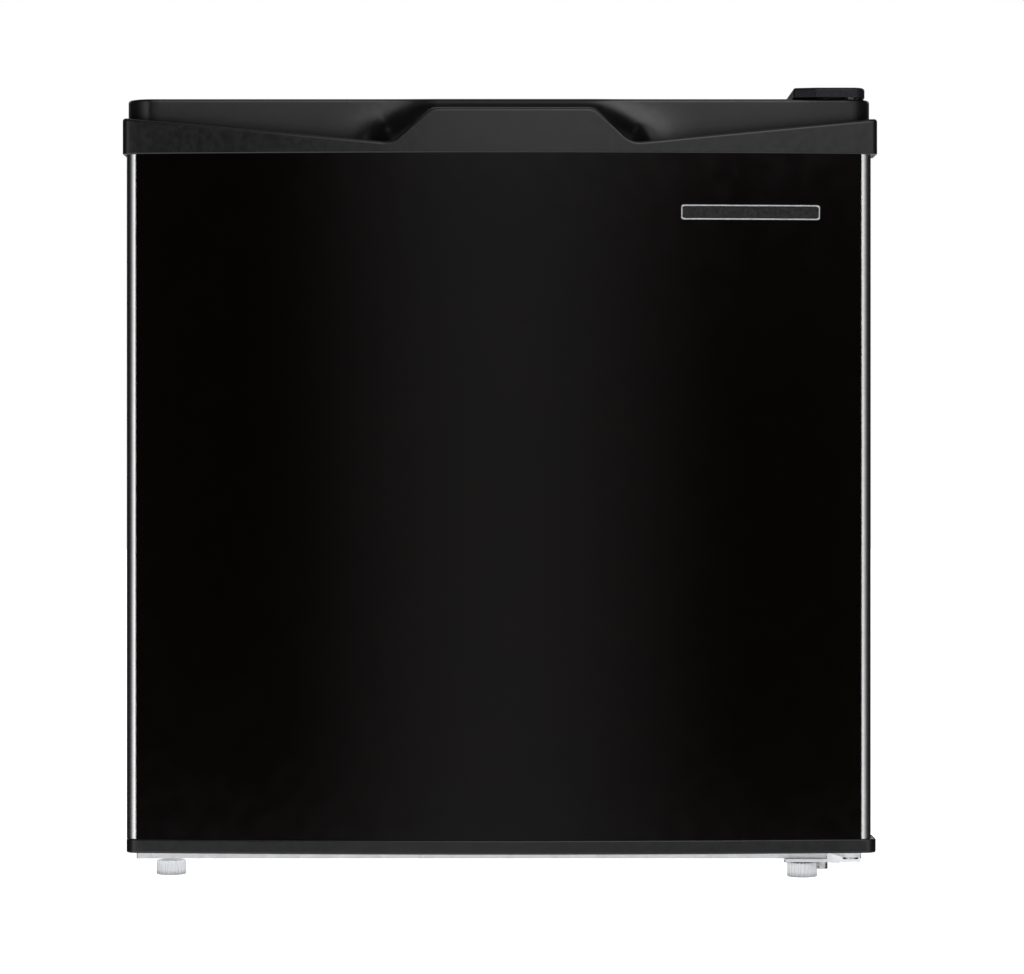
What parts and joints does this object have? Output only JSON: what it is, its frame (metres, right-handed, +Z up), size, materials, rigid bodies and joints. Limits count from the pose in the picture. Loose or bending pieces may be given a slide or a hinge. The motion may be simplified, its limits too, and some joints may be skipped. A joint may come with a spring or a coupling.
{
  "type": "mini fridge",
  "caption": "Compact free-standing refrigerator: bowed full-height door with a recessed top grip, freezer box, wire shelf, rear condenser and screw-out front feet.",
  "frame": {"origin": "on the floor, under the middle of the footprint", "axes": "+Z up; -Y is the front, where the door is; +X is the hinge side"},
  "size_m": [0.4667, 0.45, 0.4941],
  "materials": {
    "cabinet_paint": "satin",
    "galvanised": "satin",
    "foam": "matte",
    "white_liner": "gloss",
    "white_plastic": "satin",
    "black_plastic": "satin",
    "satin_black": "satin",
    "door_gloss": "gloss",
    "bright_trim": "polished",
    "seal_grey": "matte",
    "black_rubber": "matte",
    "compressor_black": "satin",
    "cast_iron": "matte",
    "condenser_black": "matte",
    "copper": "satin",
    "zinc": "satin",
    "bright_steel": "polished",
    "foot_plastic": "satin",
    "evaporator_aluminium": "satin",
    "clear_plastic": "gloss",
    "shelf_wire": "gloss",
    "nameplate": "gloss"
  },
  "bodies": {
    "cabinet": {"cabinet_shell": "cabinet_paint", "back_panel": "galvanised", "bottom_panel": "galvanised", "front_bottom_rail": "galvanised", "cabinet_foam": "foam", "inner_liner": "white_liner", "compressor_base": "galvanised", "compressor_shell": "compressor_black", "compressor_pump": "cast_iron", "compressor_cradle": "compressor_black", "compressor_grommets": "black_rubber", "compressor_bolts": "zinc", "starter_cover": "black_plastic", "discharge_tube": "copper", "suction_tube": "copper", "filter_drier": "copper", "capillary_tube": "copper", "cord_gland": "black_plastic", "condenser_coil": "condenser_black", "condenser_wires": "condenser_black", "condenser_clips": "black_plastic", "panel_screws": "zinc", "top_hinge_plate": "galvanised", "hinge_pins": "bright_steel", "hinge_screws": "zinc", "top_hinge_cover": "black_plastic", "hinge_hole_plugs": "black_plastic", "bottom_hinge_bracket": "galvanised", "foot_inserts": "zinc", "rear_feet": "foot_plastic", "evaporator_box": "evaporator_aluminium", "evaporator_clips": "white_plastic", "evaporator_pipes": "copper", "freezer_frame": "white_plastic", "tray_rails": "white_plastic", "thermostat_housing": "white_plastic", "thermostat_body": "zinc", "thermostat_capillary": "copper"},
    "door": {"door_skin": "door_gloss", "door_edge_left": "bright_trim", "door_edge_right": "bright_trim", "door_top_cap": "satin_black", "door_bottom_cap": "satin_black", "door_foam": "foam", "door_liner": "white_liner", "door_gasket": "seal_grey", "magnet_strips": "black_rubber", "door_rack_lower": "white_plastic", "door_rack_upper": "white_plastic", "door_bushings": "white_plastic", "nameplate": "nameplate"},
    "freezer_flap": {"freezer_flap": "white_plastic"},
    "drip_tray": {"drip_tray": "clear_plastic"},
    "wire_shelf": {"wire_shelf": "shelf_wire"},
    "thermostat_knob": {"thermostat_knob": "white_plastic", "thermostat_shaft": "bright_steel"},
    "left_foot_stud": {"left_foot_stud": "zinc"},
    "left_foot_disc": {"left_foot_disc": "foot_plastic"},
    "right_foot_stud": {"right_foot_stud": "zinc"},
    "right_foot_disc": {"right_foot_disc": "foot_plastic"}
  },
  "joints": [
    {"name": "door_hinge", "type": "hinge", "parent": "cabinet", "child": "door", "pos_m": [0.2185, -0.197, 0.25], "axis": [0, 0, 1], "range_deg": [0, 135]},
    {"name": "freezer_flap_hinge", "type": "hinge", "parent": "cabinet", "child": "freezer_flap", "pos_m": [-0.082, -0.04, 0.43], "axis": [-1, 0, 0], "range_deg": [0, 90]},
    {"name": "drip_tray_slide", "type": "slide", "parent": "cabinet", "child": "drip_tray", "axis": [0, -1, 0], "range_m": [0, 0.085]},
    {"name": "wire_shelf_slide", "type": "slide", "parent": "cabinet", "child": "wire_shelf", "axis": [0, -1, 0], "range_m": [0, 0.06]},
    {"name": "thermostat_turn", "type": "hinge", "parent": "cabinet", "child": "thermostat_knob", "pos_m": [0.11, -0.02, 0.427], "axis": [0, 1, 0], "range_deg": [0, 300]},
    {"name": "left_foot_height", "type": "slide", "parent": "cabinet", "child": "left_foot_stud", "axis": [0, 0, -1], "range_m": [0, 0.008]},
    {"name": "left_foot_turn", "type": "hinge", "parent": "left_foot_stud", "child": "left_foot_disc", "pos_m": [-0.209, -0.134, 0.004], "axis": [0, 0, -1], "range_deg": [0, 2880]},
    {"name": "right_foot_height", "type": "slide", "parent": "cabinet", "child": "right_foot_stud", "axis": [0, 0, -1], "range_m": [0, 0.008]},
    {"name": "right_foot_turn", "type": "hinge", "parent": "right_foot_stud", "child": "right_foot_disc", "pos_m": [0.192, -0.15, 0.004], "axis": [0, 0, -1], "range_deg": [0, 2880]}
  ],
  "couplings": [
    {"joint": "left_foot_turn", "follows": "left_foot_height", "rad_per_m": 6283.2},
    {"joint": "right_foot_turn", "follows": "right_foot_height", "rad_per_m": 6283.2}
  ]
}
